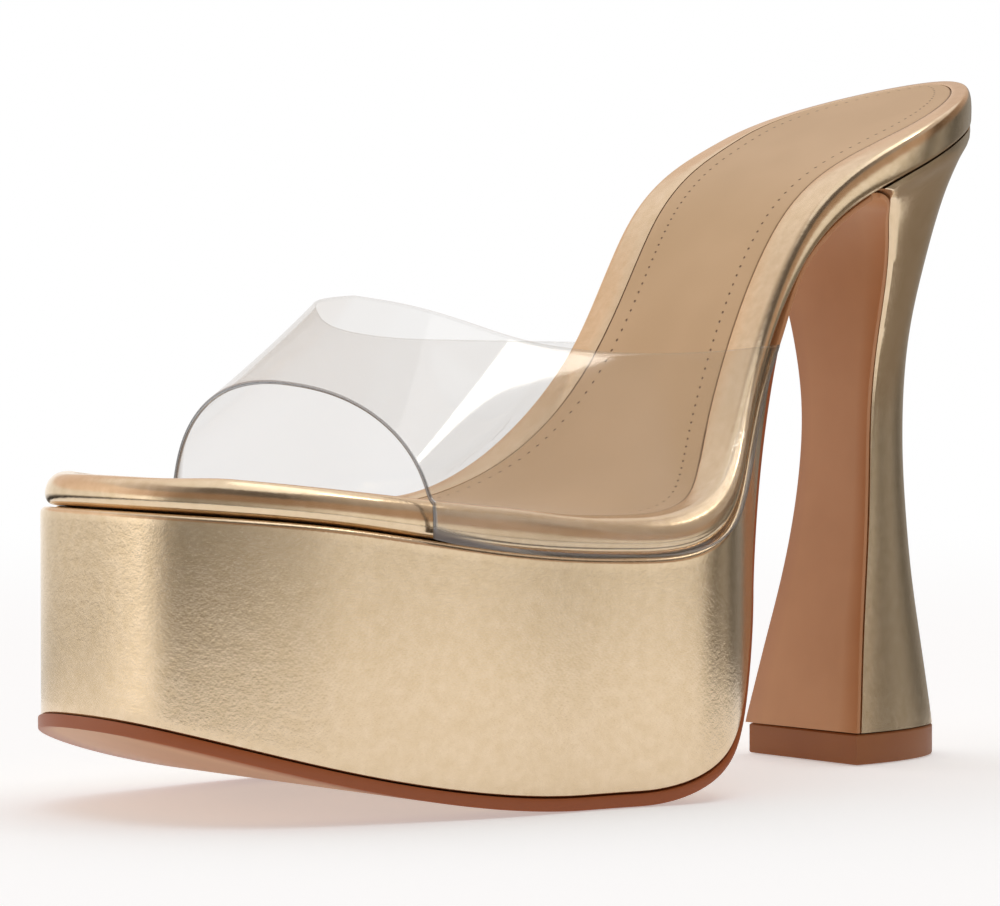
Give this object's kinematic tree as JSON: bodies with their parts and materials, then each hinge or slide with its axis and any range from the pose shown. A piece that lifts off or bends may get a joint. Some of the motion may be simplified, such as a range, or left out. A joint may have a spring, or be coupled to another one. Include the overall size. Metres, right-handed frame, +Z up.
{
  "type": "platform heel sandal",
  "caption": "High-heeled slip-on sandal with a thick platform, a steep padded insole, a waisted block heel and one wide clear band over the forefoot.",
  "frame": {"origin": "on the floor under the middle of the shoe's box", "axes": "+X from the toe to the heel, +Y towards the inner side of the foot, +Z up"},
  "size_m": [0.2276, 0.1002, 0.1467],
  "materials": {
    "foil_leather": "metallic champagne gold, soft gloss",
    "sole_sheet": "satin brown",
    "sock_leather": "tan, soft sheen",
    "top_lift": "matt caramel brown",
    "clear_film": "clear and glossy"
  },
  "bodies": {
    "root": {"outsole": "sole_sheet", "platform": "foil_leather", "insole_board": "foil_leather", "insole_sock": "sock_leather", "heel": "foil_leather", "top_piece": "top_lift", "clear_band": "clear_film"}
  },
  "joints": []
}
